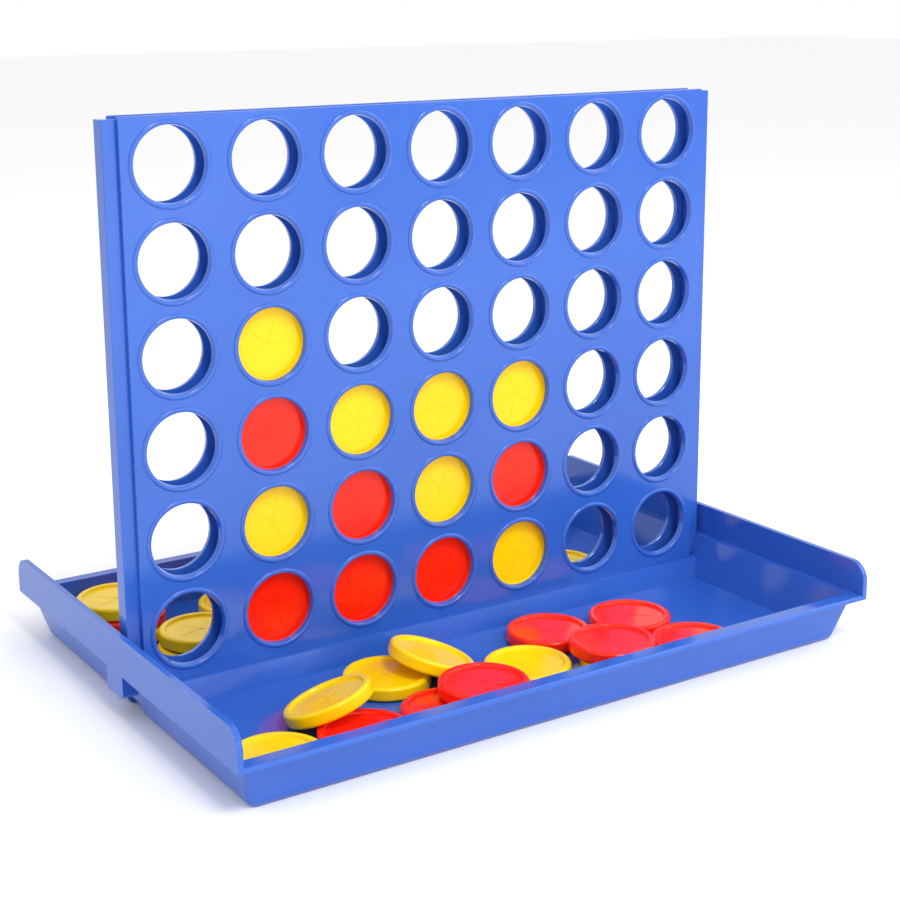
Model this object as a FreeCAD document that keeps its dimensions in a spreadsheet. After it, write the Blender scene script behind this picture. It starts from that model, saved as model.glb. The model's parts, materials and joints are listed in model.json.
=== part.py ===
import FreeCAD, Part
import math
import os

# Tabletop four-in-a-row game: a one-piece tray base, an upright board of seven columns by six rows,
# and 42 discs, some in the board and the rest lying in the base's two trays.
# Origin: on the table, under the middle of the base. X runs along the board, Y away from the player
# who sits at the front, Z up. Millimetres.

COLUMNS = 7
ROWS = 6

SIZES = {
    # the playing grid
    "column_pitch": 35.0,
    "row_pitch": 32.0,
    "bottom_row_height": 28.0,
    # a disc, with a recessed web and five rays on each side
    "disc_radius": 15.85,
    "disc_thickness": 5.0,
    "disc_edge_round": 1.2,
    "disc_rim_width": 2.7,
    "disc_recess": 1.0,
    "ray_length": 8.5,
    "ray_width": 1.1,
    "ray_rise": 0.4,
    # the board: two panels with dividers and end rails between them
    "board_top": 204.0,
    "board_half_thickness": 5.0,
    "panel_half_width": 122.5,
    "panel_bottom": 7.6,
    "panel_thickness": 1.8,
    "hole_radius": 12.6,
    "hole_mouth_radius": 13.1,
    "lip_radius": 13.75,
    "lip_round": 1.1,
    "lip_centre_depth": 0.6,
    "divider_half_width": 1.3,
    "divider_bottom": 12.5,
    "divider_top": 203.0,
    "peg_radius": 0.9,
    "peg_length": 1.0,
    "rail_inner": 121.3,
    "rail_outer": 127.5,
    "rail_bottom": 10.5,
    "rail_top": 203.2,
    # the base: outer walls, ledge and side flanges
    "floor_half_length": 123.5,
    "floor_half_depth": 86.5,
    "body_top_half_length": 128.3,
    "body_top_half_depth": 91.3,
    "ledge_half_length": 131.5,
    "ledge_half_depth": 95.0,
    "ledge_underside": 16.8,
    "ledge_top": 18.5,
    "ledge_round": 0.8,
    "flange_thickness": 2.0,
    "flange_top": 31.0,
    "flange_corner": 7.0,
    "wall_bottom_round": 3.0,
    # the base: the two trays
    "floor_thickness": 2.0,
    "tray_floor_half_length": 121.5,
    "tray_floor_front": 85.0,
    "tray_floor_back": 9.5,
    "tray_mid_half_length": 124.2,
    "tray_mid_front": 87.2,
    "tray_mid_back": 7.2,
    "tray_top_half_length": 127.0,
    "tray_top_front": 89.5,
    "channel_wall_top": 10.0,
    # the base: the channel that holds the board
    "slot_half_width": 5.3,
    "slot_half_length": 123.0,
    "slot_floor": 7.3,
    "rail_slot_half_width": 3.5,
    "rail_slot_half_length": 128.0,
    "rail_slot_floor": 10.3,
    "groove_foot_half_width": 7.6,
    "groove_top_half_width": 5.9,
    "groove_top": 5.5,
    "tab_half_width": 6.8,
    "tab_bottom": 8.5,
    "tab_corner": 2.0,
    "stop_rib_half_width": 1.5,
    "stop_rib_half_length": 120.8,
    "stop_rib_top": 11.85,
}

doc = FreeCAD.newDocument("four_in_a_row")
sheet = doc.addObject("Spreadsheet::Sheet", "sizes")
for row, (alias, value) in enumerate(SIZES.items(), start=1):
    sheet.set("A%d" % row, alias)
    sheet.set("B%d" % row, str(value))
    sheet.setAlias("B%d" % row, alias)
doc.recompute()

nodes = []


def size(alias):
    """A driving dimension as the sheet holds it."""
    return float(sheet.get(alias))


def bind(obj, name, expression):
    """Tie a property to an expression in the sheet's aliases."""
    obj.setExpression(name, expression)


def place(obj, x="0", y="0", z="0"):
    """Tie an object's position to three expressions."""
    bind(obj, ".Placement.Base.x", x)
    bind(obj, ".Placement.Base.y", y)
    bind(obj, ".Placement.Base.z", z)


def block(name, x, y, z):
    """A box between the pairs of expressions x, y and z."""
    obj = doc.addObject("Part::Box", name)
    bind(obj, "Length", "(%s) - (%s)" % (x[1], x[0]))
    bind(obj, "Width", "(%s) - (%s)" % (y[1], y[0]))
    bind(obj, "Height", "(%s) - (%s)" % (z[1], z[0]))
    place(obj, x[0], y[0], z[0])
    return obj


def centred_block(name, half_x, half_y, z):
    """A box centred on the Z axis."""
    return block(name, ("-(%s)" % half_x, half_x), ("-(%s)" % half_y, half_y), z)


def frustum(name, low_x, low_y, low_z, high_x, high_y, high_z):
    """A block that tapers upwards: half-lengths in X and pairs in Y at its lower and upper ends."""
    obj = doc.addObject("Part::Wedge", name)
    obj.Placement = FreeCAD.Placement(
        FreeCAD.Vector(0, 0, 0), FreeCAD.Rotation(FreeCAD.Vector(1, 0, 0), 90)
    )
    bind(obj, "Xmin", "-(%s)" % low_x)
    bind(obj, "Xmax", low_x)
    bind(obj, "X2min", "-(%s)" % high_x)
    bind(obj, "X2max", high_x)
    bind(obj, "Zmin", "-(%s)" % low_y[1])
    bind(obj, "Zmax", "-(%s)" % low_y[0])
    bind(obj, "Z2min", "-(%s)" % high_y[1])
    bind(obj, "Z2max", "-(%s)" % high_y[0])
    bind(obj, "Ymin", low_z)
    bind(obj, "Ymax", high_z)
    return obj


def fuse(name, parts):
    obj = doc.addObject("Part::MultiFuse", name)
    obj.Shapes = parts
    return obj


def cut(name, stock, tools):
    """Stock less all the tools."""
    obj = doc.addObject("Part::Cut", name)
    obj.Base = stock
    obj.Tool = tools[0] if len(tools) == 1 else fuse(name + "_tools", tools)
    return obj


def fillet(name, stock, wanted, alias):
    """Round every edge of the stock that passes the test; the radius is a cell of the sheet."""
    doc.recompute()
    radius = size(alias)
    numbers = [n for n, edge in enumerate(stock.Shape.Edges, start=1) if wanted(edge)]
    obj = doc.addObject("Part::Fillet", name)
    obj.Base = stock
    obj.Edges = [(n, radius, radius) for n in numbers]
    return obj


def along_x(edge, z):
    """A straight edge parallel to X, at height z."""
    first, last = edge.Vertexes[0].Point, edge.Vertexes[-1].Point
    return abs(first.z - z) < 0.01 and abs(last.z - z) < 0.01 and abs(first.y - last.y) < 0.01


def keep(obj, label):
    """Make an object a sub-part: its label is its file's name."""
    obj.Label = label
    nodes.append(obj)
    return obj


# ---------------------------------------------------------------------------------------------
# Base: one moulding. Drafted outer walls, a ledge all round, a flange on each side, two trays,
# and between them the channel for the board, with the rib that the bottom discs stand on.

walls = frustum(
    "base_walls",
    "sizes.floor_half_length", ("-sizes.floor_half_depth", "sizes.floor_half_depth"), "0",
    "sizes.body_top_half_length", ("-sizes.body_top_half_depth", "sizes.body_top_half_depth"),
    "sizes.ledge_underside",
)


def bottom_or_corner_edge(edge):
    """The four edges round the bottom of the walls, and the four slanted corner edges."""
    return min(vertex.Point.z for vertex in edge.Vertexes) < 0.01


walls = fillet("base_walls_rounded", walls, bottom_or_corner_edge, "wall_bottom_round")

ledge = centred_block(
    "base_ledge", "sizes.ledge_half_length", "sizes.ledge_half_depth",
    ("sizes.ledge_underside", "sizes.ledge_top"),
)
ledge = fillet(
    "base_ledge_rounded", ledge,
    lambda edge: along_x(edge, size("ledge_top")), "ledge_round",
)

base_parts = [walls, ledge]
for side, x in (
    ("left", ("-sizes.ledge_half_length", "-sizes.ledge_half_length + sizes.flange_thickness")),
    ("right", ("sizes.ledge_half_length - sizes.flange_thickness", "sizes.ledge_half_length")),
):
    flange = block(
        "flange_" + side, x,
        ("-sizes.ledge_half_depth", "sizes.ledge_half_depth"),
        ("sizes.ledge_underside", "sizes.flange_top"),
    )
    base_parts.append(
        fillet(
            "flange_%s_rounded" % side, flange,
            lambda edge: along_x(edge, size("flange_top")), "flange_corner",
        )
    )

tab = centred_block(
    "channel_ends", "sizes.ledge_half_length", "sizes.tab_half_width",
    ("sizes.tab_bottom", "sizes.ledge_top"),
)
base_parts.append(
    fillet(
        "channel_ends_rounded", tab,
        lambda edge: along_x(edge, size("tab_bottom")), "tab_corner",
    )
)
base_outside = fuse("base_outside", base_parts)

hollows = [
    frustum(
        "front_tray",
        "sizes.tray_floor_half_length", ("-sizes.tray_floor_front", "-sizes.tray_floor_back"),
        "sizes.floor_thickness",
        "sizes.tray_mid_half_length", ("-sizes.tray_mid_front", "-sizes.tray_mid_back"),
        "sizes.channel_wall_top",
    ),
    frustum(
        "back_tray",
        "sizes.tray_floor_half_length", ("sizes.tray_floor_back", "sizes.tray_floor_front"),
        "sizes.floor_thickness",
        "sizes.tray_mid_half_length", ("sizes.tray_mid_back", "sizes.tray_mid_front"),
        "sizes.channel_wall_top",
    ),
    frustum(
        "over_both_trays",
        "sizes.tray_mid_half_length", ("-sizes.tray_mid_front", "sizes.tray_mid_front"),
        "sizes.channel_wall_top",
        "sizes.tray_top_half_length", ("-sizes.tray_top_front", "sizes.tray_top_front"),
        "sizes.ledge_top",
    ),
    frustum(
        "groove_under_channel",
        "sizes.ledge_half_length", ("-sizes.groove_foot_half_width", "sizes.groove_foot_half_width"),
        "0",
        "sizes.ledge_half_length", ("-sizes.groove_top_half_width", "sizes.groove_top_half_width"),
        "sizes.groove_top",
    ),
    centred_block(
        "panel_slot", "sizes.slot_half_length", "sizes.slot_half_width",
        ("sizes.slot_floor", "sizes.flange_top"),
    ),
    centred_block(
        "rail_slot", "sizes.rail_slot_half_length", "sizes.rail_slot_half_width",
        ("sizes.rail_slot_floor", "sizes.flange_top"),
    ),
]
base_hollowed = cut("base_hollowed", base_outside, hollows)

stop_rib = centred_block(
    "disc_stop_rib", "sizes.stop_rib_half_length", "sizes.stop_rib_half_width",
    ("sizes.groove_top", "sizes.stop_rib_top"),
)
keep(fuse("base", [base_hollowed, stop_rib]), "tray_base")

# ---------------------------------------------------------------------------------------------
# Board: a front and a back panel, each with 42 lipped holes. Six dividers between the columns and
# two end rails hold the panels apart. Pegs on the dividers enter blind holes in the panels.


def column_x(column):
    """Middle of a column, counted from 1 at the left, as an expression."""
    return "sizes.column_pitch * %d" % (column - (COLUMNS + 1) // 2)


def row_z(row):
    """Middle of a row, counted from 1 at the bottom, as an expression."""
    return "sizes.bottom_row_height + sizes.row_pitch * %d" % (row - 1)


def round_bar(name, radius, length, x, y, z):
    """A cylinder along -Y."""
    obj = doc.addObject("Part::Cylinder", name)
    obj.Placement.Rotation = FreeCAD.Rotation(FreeCAD.Vector(1, 0, 0), 90)
    bind(obj, "Radius", radius)
    bind(obj, "Height", length)
    place(obj, x, y, z)
    return obj


PEG_ROWS = (1, 3, 5)
divider_x = ["sizes.column_pitch * %.1f" % (gap - COLUMNS / 2) for gap in range(1, COLUMNS)]
peg_z = ["%s + sizes.row_pitch / 2" % row_z(row) for row in PEG_ROWS]

plate = block(
    "front_plate",
    ("-sizes.panel_half_width", "sizes.panel_half_width"),
    ("-sizes.board_half_thickness", "-sizes.board_half_thickness + sizes.panel_thickness"),
    ("sizes.panel_bottom", "sizes.board_top"),
)
lips = []
holes = []
for column in range(1, COLUMNS + 1):
    for row in range(1, ROWS + 1):
        at = "_%d_%d" % (column, row)
        lip = doc.addObject("Part::Torus", "lip" + at)
        lip.Placement.Rotation = FreeCAD.Rotation(FreeCAD.Vector(1, 0, 0), 90)
        bind(lip, "Radius1", "sizes.lip_radius")
        bind(lip, "Radius2", "sizes.lip_round")
        place(lip, column_x(column), "-sizes.board_half_thickness + sizes.lip_centre_depth", row_z(row))
        lips.append(lip)
        hole = doc.addObject("Part::Cone", "hole" + at)
        hole.Placement.Rotation = FreeCAD.Rotation(FreeCAD.Vector(1, 0, 0), 90)
        bind(hole, "Radius1", "sizes.hole_radius")
        bind(hole, "Radius2", "sizes.hole_mouth_radius")
        bind(hole, "Height", "sizes.panel_thickness + sizes.lip_round")
        place(hole, column_x(column), "-sizes.board_half_thickness + sizes.panel_thickness", row_z(row))
        holes.append(hole)
sockets = []
for gap, x in enumerate(divider_x, start=1):
    for level, z in enumerate(peg_z, start=1):
        sockets.append(
            round_bar(
                "socket_%d_%d" % (gap, level), "sizes.peg_radius", "sizes.peg_length",
                x, "-sizes.board_half_thickness + sizes.panel_thickness", z,
            )
        )
lipped_plate = fuse("lipped_plate", [plate] + lips)
front_panel = keep(cut("front", lipped_plate, holes + sockets), "front_panel")

back_panel = doc.addObject("Part::Mirroring", "back")
back_panel.Source = front_panel
back_panel.Base = FreeCAD.Vector(0, 0, 0)
back_panel.Normal = FreeCAD.Vector(0, 1, 0)
keep(back_panel, "back_panel")

GAP_HALF = "(sizes.board_half_thickness - sizes.panel_thickness)"
for gap, x in enumerate(divider_x, start=1):
    strip = block(
        "strip_%d" % gap,
        ("%s - sizes.divider_half_width" % x, "%s + sizes.divider_half_width" % x),
        ("-" + GAP_HALF, GAP_HALF),
        ("sizes.divider_bottom", "sizes.divider_top"),
    )
    pegs = [
        round_bar(
            "peg_%d_%d" % (gap, level), "sizes.peg_radius",
            "2 * (%s + sizes.peg_length)" % GAP_HALF, x, GAP_HALF + " + sizes.peg_length", z,
        )
        for level, z in enumerate(peg_z, start=1)
    ]
    keep(fuse("divider_%d" % gap, [strip] + pegs), "column_divider_%d" % gap)

for side, x in (
    ("left", ("-sizes.rail_outer", "-sizes.rail_inner")),
    ("right", ("sizes.rail_inner", "sizes.rail_outer")),
):
    rail = block("rail_" + side, x, ("-" + GAP_HALF, GAP_HALF), ("sizes.rail_bottom", "sizes.rail_top"))
    keep(rail, side + "_end_rail")

# ---------------------------------------------------------------------------------------------
# Discs: one form, moulded in two colours. A raised rim round a recessed web with five thin rays,
# the same on both sides. The form is centred on the origin with its axis along Z.

RAYS = 5

disc_stock = doc.addObject("Part::Cylinder", "disc_stock")
bind(disc_stock, "Radius", "sizes.disc_radius")
bind(disc_stock, "Height", "sizes.disc_thickness")
place(disc_stock, z="-sizes.disc_thickness / 2")
disc_rounded = fillet(
    "disc_rounded", disc_stock,
    lambda edge: edge.Closed, "disc_edge_round",
)
recesses = []
for side, z in (
    ("upper", "sizes.disc_thickness / 2 - sizes.disc_recess"),
    ("lower", "-sizes.disc_thickness / 2"),
):
    recess = doc.addObject("Part::Cylinder", side + "_recess")
    bind(recess, "Radius", "sizes.disc_radius - sizes.disc_rim_width")
    bind(recess, "Height", "sizes.disc_recess")
    place(recess, z=z)
    recesses.append(recess)
disc_parts = [cut("disc_recessed", disc_rounded, recesses)]
for ray in range(RAYS):
    bar = doc.addObject("Part::Box", "ray_%d" % (ray + 1))
    turn = FreeCAD.Rotation(FreeCAD.Vector(0, 0, 1), 360.0 / RAYS * ray)
    web_top = "sizes.disc_thickness / 2 - sizes.disc_recess + sizes.ray_rise"
    bind(bar, "Length", "sizes.ray_length")
    bind(bar, "Width", "sizes.ray_width")
    bind(bar, "Height", "2 * (%s)" % web_top)
    across = turn.multVec(FreeCAD.Vector(0, -size("ray_width") / 2, 0))
    bar.Placement = FreeCAD.Placement(across, turn)
    bind(bar, ".Placement.Base.z", "-(%s)" % web_top)
    disc_parts.append(bar)
disc_form = fuse("disc_form", disc_parts)
doc.recompute()


def disc(label, placement):
    """One disc: a copy of the form in a body of its own."""
    body = doc.addObject("PartDesign::Body", label)
    copy = body.newObject("PartDesign::FeatureBase", label + "_form")
    copy.BaseFeature = disc_form
    body.Tip = copy
    body.Placement = placement
    return keep(body, label)


count = {"yellow": 0, "red": 0}


def next_label(colour):
    count[colour] += 1
    return "%s_disc_%02d" % (colour, count[colour])


# Discs in the board, from the bottom row up, column by column.
BOARD_DISCS = {
    2: ("red", "yellow", "red", "yellow"),
    3: ("red", "red", "yellow"),
    4: ("red", "yellow", "yellow"),
    5: ("yellow", "red", "yellow"),
}
for column, colours in BOARD_DISCS.items():
    for row, colour in enumerate(colours, start=1):
        upright = disc(
            next_label(colour),
            FreeCAD.Placement(FreeCAD.Vector(0, 0, 0), FreeCAD.Rotation(FreeCAD.Vector(1, 0, 0), 90)),
        )
        place(upright, column_x(column), "0", row_z(row))

# Discs lying in the trays, front tray first. Each has a name, a colour and its centre in plan. A disc
# that names another rests on it: flat on top, or, where a bearing is given (degrees anticlockwise
# from +X), leaning on its rim with the low edge on the floor at that bearing.
REST_GAP = 0.25
STEEPEST_LEAN = 60.0
TRAY_DISCS = (
    ("front_1", "yellow", -105.2, -68.8, None, None),
    ("front_2", "red", -73.0, -68.8, None, None),
    ("front_3", "yellow", -76.0, -50.0, "front_2", 135.0),
    ("front_4", "yellow", -43.0, -33.0, None, None),
    ("front_5", "yellow", -26.0, -35.7, "front_4", -12.0),
    ("front_6", "red", -40.8, -68.8, None, None),
    ("front_7", "red", -25.3, -68.0, "front_6", None),
    ("front_8", "yellow", 4.0, -53.0, None, None),
    ("front_9", "yellow", 36.0, -68.0, None, None),
    ("front_10", "red", 34.7, -63.0, "front_9", None),
    ("front_11", "red", 29.5, -31.0, None, None),
    ("front_12", "red", 64.5, -36.5, None, None),
    ("front_13", "red", 69.0, -68.8, None, None),
    ("back_1", "yellow", -103.0, 63.0, None, None),
    ("back_2", "red", -101.5, 64.5, "back_1", None),
    ("back_3", "yellow", -103.0, 66.5, "back_2", None),
    ("back_4", "yellow", -86.0, 29.5, None, None),
    ("back_5", "yellow", -84.5, 31.5, "back_4", None),
    ("back_6", "yellow", -54.0, 63.0, None, None),
    ("back_7", "red", -50.0, 28.0, None, None),
    ("back_8", "red", -32.0, 29.5, "back_7", 5.0),
    ("back_9", "yellow", -20.0, 65.0, None, None),
    ("back_10", "red", -22.0, 63.0, "back_9", None),
    ("back_11", "red", 2.0, 31.0, None, None),
    ("back_12", "red", 18.0, 65.0, None, None),
    ("back_13", "red", 36.5, 63.5, "back_12", 0.0),
    ("back_14", "yellow", 38.0, 27.0, None, None),
    ("back_15", "red", 71.0, 64.0, None, None),
    ("back_16", "yellow", 78.5, 28.0, None, None),
)
radius = size("disc_radius")
half_thick = size("disc_thickness") / 2
floor = size("floor_thickness") + REST_GAP


def leaning_height(lean):
    """Height of a disc's centre when its low edge is on the tray floor; lean in radians."""
    return floor + radius * math.sin(lean) + half_thick * math.cos(lean)


def lean_on_rim(reach, rim_height):
    """Lean at which the underside just clears a rim that lies reach along the bearing."""
    flattest, steepest = 0.0, math.radians(STEEPEST_LEAN)
    while steepest - flattest > 1e-6:
        lean = (flattest + steepest) / 2
        underside = leaning_height(lean) - half_thick / math.cos(lean) - reach * math.tan(lean)
        if underside < rim_height:
            flattest = lean
        else:
            steepest = lean
    return steepest


centres = {}
for name, colour, x, y, support, bearing in TRAY_DISCS:
    lean = 0.0
    height = floor + half_thick
    if support is not None:
        under_x, under_y, under_z = centres[support]
        top = under_z + half_thick + REST_GAP
        height = top + half_thick
    if bearing is not None:
        toward = (math.cos(math.radians(bearing)), math.sin(math.radians(bearing)))
        reach = (under_x - x) * toward[0] + (under_y - y) * toward[1] + radius
        lean = lean_on_rim(reach, top)
        height = leaning_height(lean)
    centres[name] = (x, y, height)
    axis = FreeCAD.Rotation(FreeCAD.Vector(0, 0, 1), bearing or 0.0).multVec(FreeCAD.Vector(0, 1, 0))
    disc(
        next_label(colour),
        FreeCAD.Placement(FreeCAD.Vector(x, y, height), FreeCAD.Rotation(axis, math.degrees(lean))),
    )

# ---------------------------------------------------------------------------------------------
# Check every object, then write each sub-part.

doc.recompute()
for obj in doc.Objects:
    if "Invalid" in obj.State or "Error" in obj.State:
        raise RuntimeError("%s did not compute: %s" % (obj.Label, obj.State))
for node in nodes:
    if node.Shape.isNull() or not node.Shape.isValid():
        raise RuntimeError("%s has no valid shape" % node.Label)
    if len(node.Shape.Solids) != 1:
        raise RuntimeError("%s has %d solids" % (node.Label, len(node.Shape.Solids)))

os.makedirs("parts", exist_ok=True)
for node in nodes:
    node.Shape.exportStep("parts/%s.step" % node.Label)
print("wrote %d sub-parts" % len(nodes))
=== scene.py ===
import json
import math

import bmesh
import bpy
import numpy as np
from mathutils import Matrix, Vector

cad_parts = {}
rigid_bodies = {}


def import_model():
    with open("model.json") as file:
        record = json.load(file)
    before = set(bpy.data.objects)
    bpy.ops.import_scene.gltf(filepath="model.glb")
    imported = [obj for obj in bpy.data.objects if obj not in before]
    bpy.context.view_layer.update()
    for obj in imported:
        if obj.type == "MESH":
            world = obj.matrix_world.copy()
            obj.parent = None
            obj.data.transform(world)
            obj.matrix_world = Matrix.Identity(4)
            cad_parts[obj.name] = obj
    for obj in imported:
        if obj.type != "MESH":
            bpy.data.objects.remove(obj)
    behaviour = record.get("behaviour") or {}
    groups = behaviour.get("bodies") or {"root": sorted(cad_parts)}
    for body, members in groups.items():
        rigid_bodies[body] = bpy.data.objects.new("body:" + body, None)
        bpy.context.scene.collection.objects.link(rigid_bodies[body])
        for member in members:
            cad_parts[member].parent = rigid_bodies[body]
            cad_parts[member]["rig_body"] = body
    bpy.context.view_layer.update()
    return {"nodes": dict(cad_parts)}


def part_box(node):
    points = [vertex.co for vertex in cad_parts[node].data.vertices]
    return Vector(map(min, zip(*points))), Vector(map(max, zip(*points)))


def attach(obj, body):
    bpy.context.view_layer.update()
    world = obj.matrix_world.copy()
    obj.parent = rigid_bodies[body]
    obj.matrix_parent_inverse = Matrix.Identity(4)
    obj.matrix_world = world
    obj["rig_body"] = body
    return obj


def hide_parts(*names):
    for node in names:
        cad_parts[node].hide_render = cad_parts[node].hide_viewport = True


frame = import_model()

MM = 0.001

# ---------------------------------------------------------------------------------------------
# Tray base: one blue injection moulding, with two trays, a ledge round them and a flange at each
# side. It drops from the mould whole, so every outer edge has the small radius of the tool.

EDGE_RADIUS = 0.45 * MM
EDGE_STEPS = 3
SHARP_EDGE = math.radians(24)
SQUARE_EDGE = math.radians(60)
SMOOTH_LIMIT = math.radians(40)
FLAT_LIMIT = math.radians(0.5)
SAME_POINT = 0.001 * MM
BLUE = "#2C5DBC"
BLUE_FLOW = "#3363C2"


def linear(hex_colour):
    """An sRGB hex colour as linear RGBA."""
    parts = [int(hex_colour[i:i + 2], 16) / 255 for i in (1, 3, 5)]
    return [c / 12.92 if c <= 0.04045 else ((c + 0.055) / 1.055) ** 2.4 for c in parts] + [1.0]


def add_node(material, kind, settings=None, links=None):
    """Add one node, set its properties and sockets, and link its inputs."""
    made = material.node_tree.nodes.new(kind)
    for name, value in (settings or {}).items():
        if name in made.inputs:
            made.inputs[name].default_value = value
        else:
            setattr(made, name, value)
    for name, source in (links or {}).items():
        material.node_tree.links.new(source, made.inputs[name])
    return made


FLOW_LENGTH = 60 * MM
RIPPLE_LENGTH = 9 * MM
RIPPLE_DEPTH = 0.05 * MM
GRAIN_LENGTH = 1.2 * MM
GRAIN_DEPTH = 0.01 * MM
GLOW_DEPTH = 1.2 * MM


def moulded_plastic(name, colour, flow_colour, roughness, gleam, translucence):
    """Glossy moulded plastic. The eye sees an even, saturated colour with broad, slightly paler flow
    clouds, a shiny skin a little uneven from shrinkage, and a fine grain that blurs reflections."""
    material = bpy.data.materials.new(name)
    material.use_nodes = True
    material.node_tree.nodes.clear()
    place = add_node(material, "ShaderNodeTexCoord").outputs["Object"]
    flow = add_node(
        material, "ShaderNodeTexNoise", {"Scale": 1 / FLOW_LENGTH, "Detail": 3.0}, {"Vector": place}
    )
    tint = add_node(material, "ShaderNodeValToRGB", {}, {"Fac": flow.outputs["Fac"]})
    tint.color_ramp.elements[0].position = 0.35
    tint.color_ramp.elements[0].color = linear(colour)
    tint.color_ramp.elements[1].position = 0.7
    tint.color_ramp.elements[1].color = linear(flow_colour)
    ripple = add_node(
        material, "ShaderNodeTexNoise", {"Scale": 1 / RIPPLE_LENGTH, "Detail": 1.0}, {"Vector": place}
    )
    grain = add_node(
        material, "ShaderNodeTexNoise", {"Scale": 1 / GRAIN_LENGTH, "Detail": 4.0}, {"Vector": place}
    )
    scuff = add_node(
        material, "ShaderNodeMapRange",
        {"From Min": 0.3, "From Max": 0.75, "To Min": roughness * 0.8, "To Max": roughness * 1.35},
        {"Value": grain.outputs["Fac"]},
    )
    skin = add_node(
        material, "ShaderNodeBump", {"Strength": 0.12, "Distance": RIPPLE_DEPTH},
        {"Height": ripple.outputs["Fac"]},
    )
    fine_skin = add_node(
        material, "ShaderNodeBump", {"Strength": 0.08, "Distance": GRAIN_DEPTH},
        {"Height": grain.outputs["Fac"], "Normal": skin.outputs["Normal"]},
    )
    shader = add_node(
        material, "ShaderNodeBsdfPrincipled",
        {
            "IOR": 1.5,
            "Metallic": 0.0,
            "Specular IOR Level": gleam,
            "Subsurface Weight": translucence,
            "Subsurface Radius": (1.0, 0.6, 0.4),
            "Subsurface Scale": GLOW_DEPTH,
        },
        {
            "Base Color": tint.outputs["Color"],
            "Roughness": scuff.outputs["Result"],
            "Normal": fine_skin.outputs["Normal"],
        },
    )
    add_node(material, "ShaderNodeOutputMaterial", {}, {"Surface": shader.outputs["BSDF"]})
    return material


def finish_piece(shape, name, material, body, nodes):
    """Turn a bmesh into a piece that rides on a body and stands for its CAD nodes."""
    bmesh.ops.recalc_face_normals(shape, faces=shape.faces)
    mesh = bpy.data.meshes.new(name)
    shape.to_mesh(mesh)
    shape.free()
    mesh.materials.append(material)
    mesh.shade_smooth()
    mesh.set_sharp_from_angle(angle=SMOOTH_LIMIT)
    piece = bpy.data.objects.new(name, mesh)
    bpy.context.scene.collection.objects.link(piece)
    evener = piece.modifiers.new("flat_faces_stay_flat", "WEIGHTED_NORMAL")
    evener.keep_sharp = True
    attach(piece, body)
    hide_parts(*nodes)


def round_edges(shape, radius, steps, sharp):
    """Round every edge that turns by more than an angle."""
    edges = [e for e in shape.edges if len(e.link_faces) == 2 and e.calc_face_angle(0) > sharp]
    bmesh.ops.bevel(
        shape, geom=edges, offset=radius, offset_type="OFFSET", segments=steps, profile=0.5,
        affect="EDGES", clamp_overlap=True, material=-1,
    )


def copy_of(node):
    """The shape of a CAD node as a bmesh, with each flat side as one face."""
    shape = bmesh.new()
    shape.from_mesh(frame["nodes"][node].data)
    bmesh.ops.remove_doubles(shape, verts=shape.verts, dist=SAME_POINT)
    bmesh.ops.dissolve_limit(shape, angle_limit=FLAT_LIMIT, verts=shape.verts, edges=shape.edges)
    return shape


blue_plastic = moulded_plastic("moulded_blue_plastic", BLUE, BLUE_FLOW, 0.13, 0.55, 0.0)

base = copy_of("tray_base")
round_edges(base, EDGE_RADIUS, EDGE_STEPS, SHARP_EDGE)
finish_piece(base, "tray_base_moulding", blue_plastic, "base", ["tray_base"])

# ---------------------------------------------------------------------------------------------
# Board panels: two blue mouldings, front and back, each with a grid of holes. A rolled lip stands
# round every hole, and a faint mark shows where each peg of the dividers enters from behind.

COLUMNS = 7
ROWS = 6
PEG_ROWS = (1, 3, 5)
ROW_PITCH = 32 * MM
RING_STEPS = 64
LIP_HEIGHT = 0.5 * MM
LIP_FOOT = 14.7 * MM
LIP_STEPS = 10
HOLE_MOUTH = 13.0 * MM
HOLE_THROAT = 12.6 * MM
THROAT_CHAMFER = 0.15 * MM
OUTLINE_RADIUS = 0.35 * MM
OUTLINE_STEPS = 2
MARK_RADIUS = 0.95 * MM
MARK_STEPS = 20
MARK_RISE = 0.05 * MM
MARK_ROOT = 0.3 * MM
JOIN_REACH = 0.02 * MM
ON_BORDER = 0.01 * MM

front_low, front_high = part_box("front_panel")
pitch_x = (front_high.x - front_low.x) / COLUMNS
bottom_row = front_high.z - ROW_PITCH * (ROWS - 0.5)
face_y = front_low.y + LIP_HEIGHT
inner_y = front_high.y


def column_x(column):
    """Middle of a column, counted from 0 at the left."""
    return front_low.x + pitch_x * (column + 0.5)


def row_z(row):
    """Middle of a row, counted from 0 at the bottom."""
    return bottom_row + ROW_PITCH * row


def lip_profile():
    """Radius and depth of the lip's section, from the flat face over the crest to the inner face."""
    middle = (LIP_FOOT + HOLE_MOUTH) / 2
    half_width = (LIP_FOOT - HOLE_MOUTH) / 2
    section = []
    for step in range(LIP_STEPS + 1):
        turn = math.pi * step / LIP_STEPS
        section.append((middle + half_width * math.cos(turn), face_y - LIP_HEIGHT * math.sin(turn)))
    section.append((HOLE_THROAT + THROAT_CHAMFER, inner_y - THROAT_CHAMFER))
    section.append((HOLE_THROAT + 2 * THROAT_CHAMFER, inner_y))
    section.append((LIP_FOOT, inner_y))
    return section


def reach_tile_border(vertex):
    """Move a vertex of the lip's outer circle straight outwards on to the tile's border."""
    across, up = vertex.co.x, vertex.co.z
    reach = min(pitch_x / 2 / max(abs(across), 1e-9), ROW_PITCH / 2 / max(abs(up), 1e-9))
    vertex.co.x = across * reach
    vertex.co.z = up * reach


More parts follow.
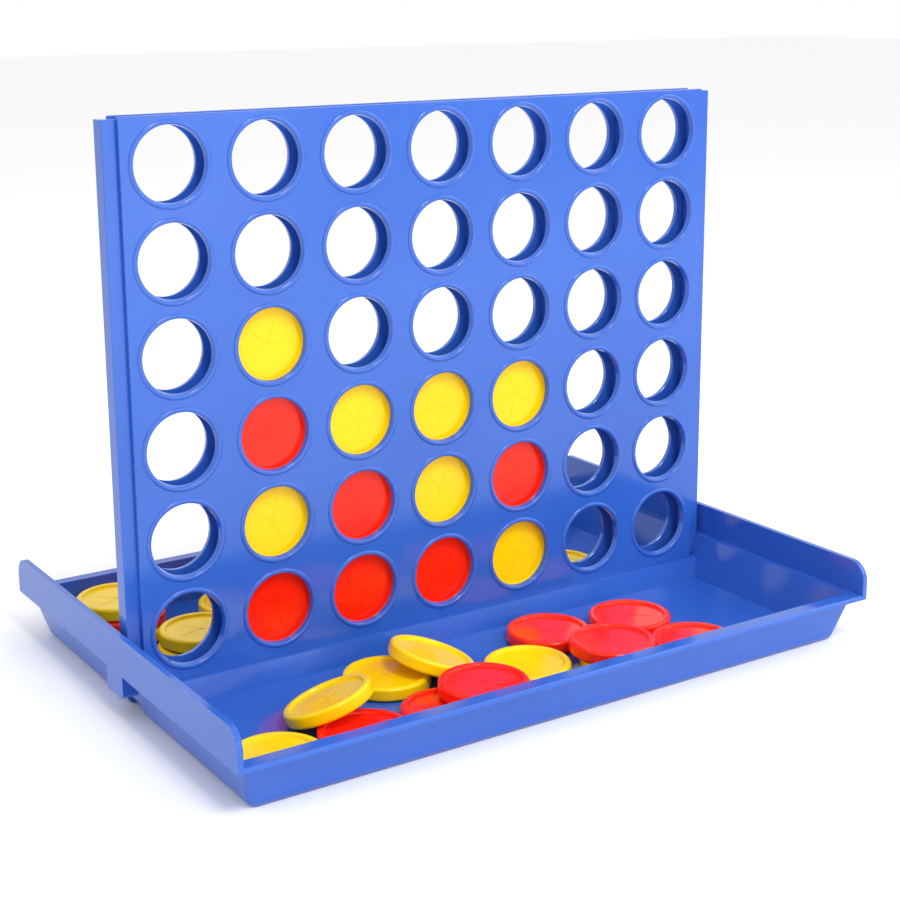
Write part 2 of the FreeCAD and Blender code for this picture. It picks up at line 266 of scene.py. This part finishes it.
def build_tile():
    """One hole with its lip and the flat plate round it, on both faces, centred on the Y axis."""
    tile = bmesh.new()
    start = [tile.verts.new((radius, depth, 0)) for radius, depth in lip_profile()]
    line = [tile.edges.new(pair) for pair in zip(start, start[1:])]
    bmesh.ops.spin(
        tile, geom=start + line, cent=(0, 0, 0), axis=(0, 1, 0),
        angle=2 * math.pi, steps=RING_STEPS, use_merge=True,
    )
    rims = [e for e in tile.edges if len(e.link_faces) == 1]
    grown = bmesh.ops.extrude_edge_only(tile, edges=rims)["geom"]
    border = [v for v in grown if isinstance(v, bmesh.types.BMVert)]
    for vertex in border:
        reach_tile_border(vertex)
    for depth in (face_y, inner_y):
        for side in (-1, 1):
            for end in (-1, 1):
                corner = Vector((side * pitch_x / 2, depth, end * ROW_PITCH / 2))
                min(border, key=lambda v: (v.co - corner).length).co = corner
    mesh = bpy.data.meshes.new("panel_tile")
    tile.to_mesh(mesh)
    tile.free()
    return mesh


def join_tiles():
    """All the tiles of one panel, with the borders that they share merged."""
    panel = bmesh.new()
    tile = build_tile()
    for column in range(COLUMNS):
        for row in range(ROWS):
            old = set(panel.verts)
            panel.from_mesh(tile)
            added = [v for v in panel.verts if v not in old]
            bmesh.ops.translate(panel, vec=(column_x(column), 0, row_z(row)), verts=added)
    bpy.data.meshes.remove(tile)
    border = [v for v in panel.verts if any(len(e.link_faces) == 1 for e in v.link_edges)]
    bmesh.ops.remove_doubles(panel, verts=border, dist=JOIN_REACH)
    return panel


def is_at(value, border):
    """Whether a coordinate lies on a border."""
    return abs(value - border) < ON_BORDER


def raise_peg_mark(panel, x, z):
    """A faint round mark on the panel's face, with its root sunk into the plate."""
    turn = Matrix.Rotation(math.pi / 2, 4, "X")
    mark = bmesh.ops.create_circle(
        panel, cap_ends=True, radius=MARK_RADIUS, segments=MARK_STEPS,
        matrix=Matrix.Translation((x, face_y + MARK_ROOT, z)) @ turn,
    )["verts"]
    raised = bmesh.ops.extrude_face_region(panel, geom=[mark[0].link_faces[0]])["geom"]
    for vertex in raised:
        if isinstance(vertex, bmesh.types.BMVert):
            vertex.co.y = face_y - MARK_RISE


def build_panel():
    """The front panel: its tiles, the strip below them, closed edges and the marks of the pegs."""
    panel = join_tiles()
    tiles_end = bottom_row - ROW_PITCH / 2
    foot = [
        e for e in panel.edges
        if len(e.link_faces) == 1 and all(is_at(v.co.z, tiles_end) for v in e.verts)
    ]
    lowered = bmesh.ops.extrude_edge_only(panel, edges=foot)["geom"]
    for vertex in lowered:
        if isinstance(vertex, bmesh.types.BMVert):
            vertex.co.z = front_low.z
    rims = [e for e in panel.edges if len(e.link_faces) == 1]
    bmesh.ops.bridge_loops(panel, edges=rims)
    outline = [
        e for e in panel.edges
        if len(e.link_faces) == 2 and e.calc_face_angle(0) > SQUARE_EDGE
        and all(
            is_at(abs(v.co.x), front_high.x)
            or is_at(v.co.z, front_high.z)
            or is_at(v.co.z, front_low.z)
            for v in e.verts
        )
    ]
    bmesh.ops.bevel(
        panel, geom=outline, offset=OUTLINE_RADIUS, offset_type="OFFSET", segments=OUTLINE_STEPS,
        profile=0.5,
        affect="EDGES", clamp_overlap=True, material=-1,
    )
    for gap in range(1, COLUMNS):
        for row in PEG_ROWS:
            raise_peg_mark(panel, front_low.x + pitch_x * gap, row_z(row) - ROW_PITCH / 2)
    return panel


front = build_panel()
finish_piece(front, "front_panel_moulding", blue_plastic, "board", ["front_panel"])
back = build_panel()
bmesh.ops.scale(back, vec=(1, -1, 1), verts=back.verts)
finish_piece(back, "back_panel_moulding", blue_plastic, "board", ["back_panel"])

# ---------------------------------------------------------------------------------------------
# Column dividers and end rails: blue strips moulded to hold the panels apart, the dividers with
# pegs that press into the panels. Their corners are broken by the tool like the base's.

STRIP_EDGE_RADIUS = 0.25 * MM
STRIP_EDGE_STEPS = 2

strips = ["column_divider_%d" % gap for gap in range(1, COLUMNS)] + ["left_end_rail", "right_end_rail"]
for node in strips:
    strip = copy_of(node)
    round_edges(strip, STRIP_EDGE_RADIUS, STRIP_EDGE_STEPS, SQUARE_EDGE)
    finish_piece(strip, node + "_moulding", blue_plastic, "board", [node])

# ---------------------------------------------------------------------------------------------
# Discs: one moulded form in two colours. A rounded rim stands round a recessed web on both sides,
# and thin rays rise from the web. Each disc lies where its CAD node does, turned by its own amount.

RIM_STEPS = 72
RIM_ROUND = 1.2 * MM
RIM_ROUND_STEPS = 5
RIM_WIDTH = 2.7 * MM
RECESS = 1.0 * MM
RAYS = 5
RAY_LENGTH = 8.5 * MM
RAY_WIDTH = 0.75 * MM
RAY_RISE = 0.09 * MM
RAY_EDGE_RADIUS = 0.08 * MM
RAY_EDGE_STEPS = 2
TURN_EACH = math.radians(137.5)

disc_plastic = {
    "yellow": moulded_plastic("moulded_yellow_plastic", "#FFD000", "#FFD806", 0.15, 0.32, 0.12),
    "red": moulded_plastic("moulded_red_plastic", "#FF2008", "#FF2C10", 0.15, 0.32, 0.12),
}

upright_low, upright_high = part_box("red_disc_01")
disc_radius = (upright_high.x - upright_low.x) / 2
disc_half = (upright_high.y - upright_low.y) / 2


def half_section():
    """Radius and height of a disc's section, from the middle of its web to the middle of its edge."""
    web = disc_half - RECESS
    inner = disc_radius - RIM_WIDTH
    section = [(0, web), (RAY_LENGTH, web), (inner - 0.5 * MM, web)]
    section += [(inner - 0.15 * MM, web + 0.12 * MM), (inner, web + 0.4 * MM)]
    section += [(inner + 0.12 * MM, disc_half - 0.2 * MM), (inner + 0.4 * MM, disc_half)]
    for step in range(RIM_ROUND_STEPS + 1):
        turn = math.pi / 2 * step / RIM_ROUND_STEPS
        section.append((
            disc_radius - RIM_ROUND + RIM_ROUND * math.sin(turn),
            disc_half - RIM_ROUND + RIM_ROUND * math.cos(turn),
        ))
    return section


def build_disc():
    """A disc centred on the origin with its axis along Z."""
    disc = bmesh.new()
    upper = half_section()
    lower = [(r, -z) for r, z in reversed(upper)]
    start = [disc.verts.new((r, 0, z)) for r, z in upper + lower]
    line = [disc.edges.new(pair) for pair in zip(start, start[1:])]
    bmesh.ops.spin(
        disc, geom=start + line, cent=(0, 0, 0), axis=(0, 0, 1),
        angle=2 * math.pi, steps=RIM_STEPS, use_merge=True,
    )
    bmesh.ops.remove_doubles(disc, verts=disc.verts, dist=SAME_POINT)
    ray_height = 2 * (disc_half - RECESS + RAY_RISE)
    for ray in range(RAYS):
        turn = Matrix.Rotation(2 * math.pi * ray / RAYS, 4, "Z")
        shift = Matrix.Translation((RAY_LENGTH / 2, 0, 0))
        shape = Matrix.Diagonal((RAY_LENGTH, RAY_WIDTH, ray_height, 1))
        bar = bmesh.ops.create_cube(disc, size=1, matrix=turn @ shift @ shape)["verts"]
        edges = list({edge for vertex in bar for edge in vertex.link_edges})
        bmesh.ops.bevel(
            disc, geom=edges, offset=RAY_EDGE_RADIUS, offset_type="OFFSET", segments=RAY_EDGE_STEPS,
            profile=0.5,
            affect="EDGES", clamp_overlap=True, material=-1,
        )
    return disc


def disc_place(node, number):
    """Where a disc lies. Its axis is the thinnest way through its vertices; its turn is its own."""
    points = np.array([v.co for v in frame["nodes"][node].data.vertices])
    low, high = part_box(node)
    thinnest = np.linalg.eigh(np.cov((points - points.mean(0)).T))[1][:, 0]
    axis = Vector(thinnest)
    if axis.z - axis.y < 0:
        axis.negate()
    lie = axis.to_track_quat("Z", "Y").to_matrix().to_4x4()
    return Matrix.Translation((low + high) / 2) @ lie @ Matrix.Rotation(TURN_EACH * number, 4, "Z")


disc_form = build_disc()
disc_nodes = sorted(node for node in frame["nodes"] if "_disc_" in node)
for number, node in enumerate(disc_nodes):
    colour = node.split("_")[0]
    one_disc = disc_form.copy()
    bmesh.ops.transform(one_disc, matrix=disc_place(node, number), verts=one_disc.verts)
    finish_piece(
        one_disc, node + "_moulding", disc_plastic[colour],
        frame["nodes"][node]["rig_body"], [node],
    )
disc_form.free()

# ---------------------------------------------------------------------------------------------
# Stage: a plain pale floor under even studio light, and the camera.

FLOOR_HALF = 6.0
CAMERA_PLACE = (-0.32834, -0.51267, 0.24258)
CAMERA_TURN = math.radians(33.12)
CAMERA_DOWN = math.radians(12.73)
CAMERA_ROLL = math.radians(-0.388)
CAMERA_LENS = 67.24
FRAME_SHIFT = -0.0889

floor_shape = bmesh.new()
bmesh.ops.create_grid(floor_shape, x_segments=1, y_segments=1, size=FLOOR_HALF)
floor_mesh = bpy.data.meshes.new("studio_floor")
floor_shape.to_mesh(floor_mesh)
floor_shape.free()
floor = bpy.data.objects.new("studio_floor", floor_mesh)
bpy.context.scene.collection.objects.link(floor)
floor_paint = bpy.data.materials.new("pale_floor")
floor_paint.use_nodes = True
floor_shader = floor_paint.node_tree.nodes["Principled BSDF"]
floor_shader.inputs["Base Color"].default_value = linear("#F7F7F7")
floor_shader.inputs["Roughness"].default_value = 0.9
floor_mesh.materials.append(floor_paint)

world = bpy.data.worlds.new("studio")
bpy.context.scene.world = world
world.use_nodes = True
world.node_tree.nodes["Background"].inputs["Color"].default_value = (1.0, 1.0, 1.0, 1.0)
world.node_tree.nodes["Background"].inputs["Strength"].default_value = 1.0


def soft_light(name, place, width, watts):
    """A square soft light that faces the middle of the set."""
    lamp = bpy.data.lights.new(name, "AREA")
    lamp.size = width
    lamp.energy = watts
    light = bpy.data.objects.new(name, lamp)
    light.location = place
    light.rotation_euler = (Vector((0, 0, 0.08)) - Vector(place)).to_track_quat("-Z", "Y").to_euler()
    bpy.context.scene.collection.objects.link(light)


bpy.context.scene.view_settings.view_transform = "Standard"
soft_light("key_light", (-0.1, -0.9, 1.2), 0.4, 9.0)
soft_light("fill_light", (0.9, -0.6, 0.7), 0.9, 4.0)
soft_light("low_light", (0.1, -1.1, 0.2), 0.8, 1.8)

lens = bpy.data.cameras.new("camera")
lens.lens = CAMERA_LENS
lens.shift_y = FRAME_SHIFT
lens.clip_start = 0.01
camera = bpy.data.objects.new("camera", lens)
camera.matrix_world = (
    Matrix.Translation(CAMERA_PLACE)
    @ Matrix.Rotation(-CAMERA_TURN, 4, "Z")
    @ Matrix.Rotation(math.pi / 2 - CAMERA_DOWN, 4, "X")
    @ Matrix.Rotation(CAMERA_ROLL, 4, "Z")
)
bpy.context.scene.collection.objects.link(camera)
bpy.context.scene.camera = camera
